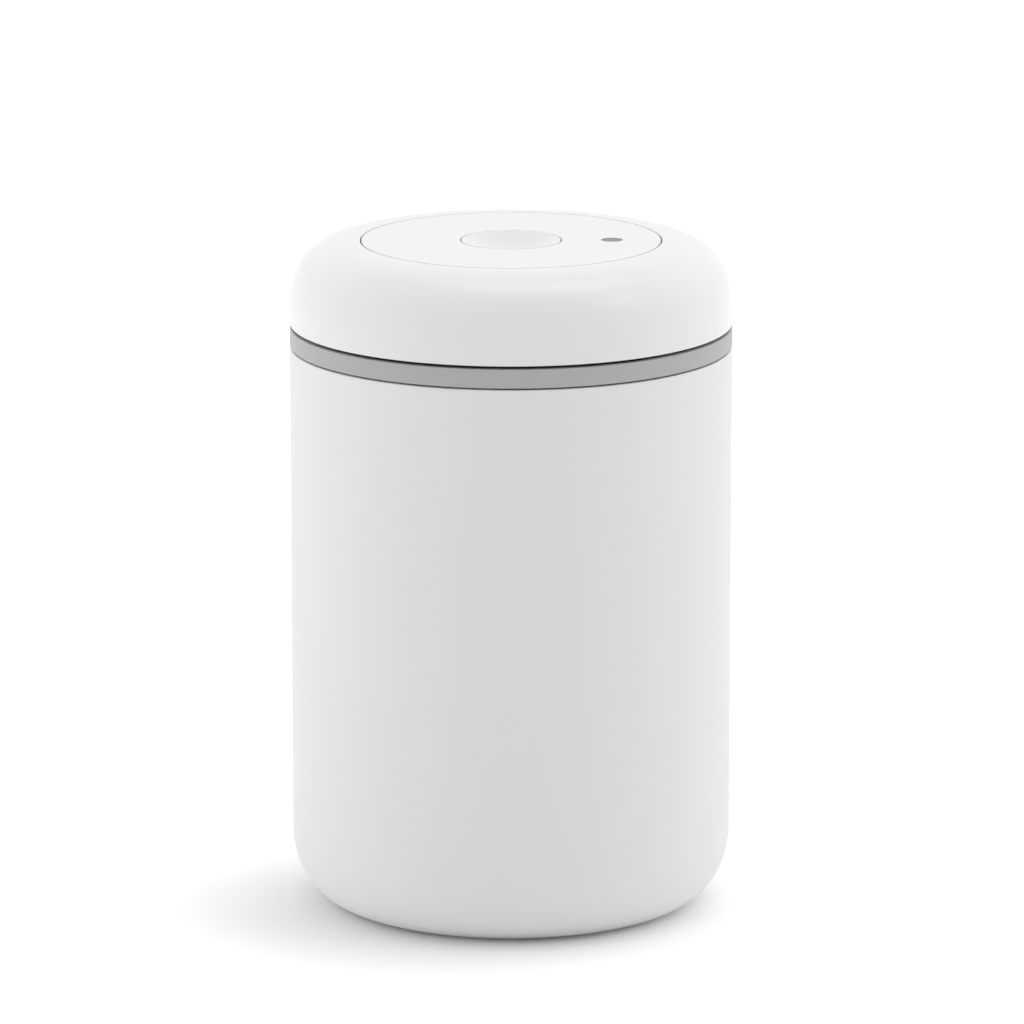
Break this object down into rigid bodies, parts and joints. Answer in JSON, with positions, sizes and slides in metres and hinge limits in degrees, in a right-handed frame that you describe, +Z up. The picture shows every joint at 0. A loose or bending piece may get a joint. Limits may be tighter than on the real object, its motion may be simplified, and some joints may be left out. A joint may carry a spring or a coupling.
{
  "type": "vacuum storage canister",
  "caption": "Cylindrical vacuum storage canister with a rounded base, a twist-to-pump lid, a dished air release button and a vacuum indicator.",
  "frame": {"origin": "centre of the foot ring, on the surface that the canister stands on", "axes": "+Z up along the canister's axis, +X towards the vacuum indicator, which is the picture's right, -Y towards the picture's viewer"},
  "size_m": [0.121, 0.121, 0.1846],
  "materials": {
    "white_coat": "matte white powder coat on drawn steel",
    "white_plastic": "fine matte",
    "grey_plastic": "fine matte",
    "pale_plastic": "moulded, unpainted",
    "acetal": "smooth, self-lubricating",
    "black_acetal": "smooth, self-lubricating, carbon black",
    "silicone": "soft, translucent",
    "filter_felt": "thin felt",
    "steel": "stainless",
    "green_plastic": "smooth",
    "indicator_grey": "smooth"
  },
  "bodies": {
    "canister": {"canister_shell": "white_coat"},
    "lid": {"plug_housing": "pale_plastic", "band_ring": "grey_plastic", "lid_gasket": "silicone", "intake_grille": "pale_plastic", "dust_filter": "filter_felt", "glide_ring": "black_acetal", "intake_valve_1": "silicone", "intake_valve_2": "silicone", "disc_carrier": "pale_plastic", "carrier_screw_1": "steel", "carrier_screw_2": "steel", "carrier_screw_3": "steel", "top_disc": "white_plastic", "tube_seal": "silicone", "indicator_hose": "silicone", "indicator_sleeve": "green_plastic", "release_spring": "steel", "indicator_spring": "steel"},
    "cap": {"lid_cap": "white_plastic", "cam_ring": "acetal", "cam_screw_1": "steel", "cam_screw_2": "steel", "cam_screw_3": "steel"},
    "piston": {"pump_piston": "acetal", "piston_outer_seal": "silicone", "piston_inner_seal": "silicone", "exhaust_valve_1": "silicone", "exhaust_valve_2": "silicone", "follower_pin_1": "steel", "follower_pin_2": "steel", "follower_pin_3": "steel"},
    "button": {"release_button": "white_plastic", "release_stem": "acetal", "stem_seal": "silicone"},
    "indicator": {"indicator_plunger": "indicator_grey", "indicator_seal": "silicone"}
  },
  "joints": [
    {"name": "lid_lift", "type": "slide", "parent": "canister", "child": "lid", "axis": [0, 0, 1], "range_m": [0, 0.1]},
    {"name": "cap_twist", "type": "hinge", "parent": "lid", "child": "cap", "pos_m": [0, 0, 0.1617], "axis": [0, 0, 1], "range_deg": [0, 75]},
    {"name": "piston_lift", "type": "slide", "parent": "lid", "child": "piston", "axis": [0, 0, 1], "range_m": [0, 0.009]},
    {"name": "button_press", "type": "slide", "parent": "lid", "child": "button", "axis": [0, 0, -1], "range_m": [0, 0.003], "stiffness_N_per_m": 800, "springref_m": -0.004, "deforming": ["release_spring"]},
    {"name": "indicator_sink", "type": "slide", "parent": "lid", "child": "indicator", "axis": [0, 0, -1], "range_m": [0, 0.004], "stiffness_N_per_m": 150, "springref_m": -0.003, "deforming": ["indicator_spring"]}
  ],
  "couplings": [
    {"joint": "piston_lift", "follows": "cap_twist", "m_per_rad": 0.006875}
  ]
}
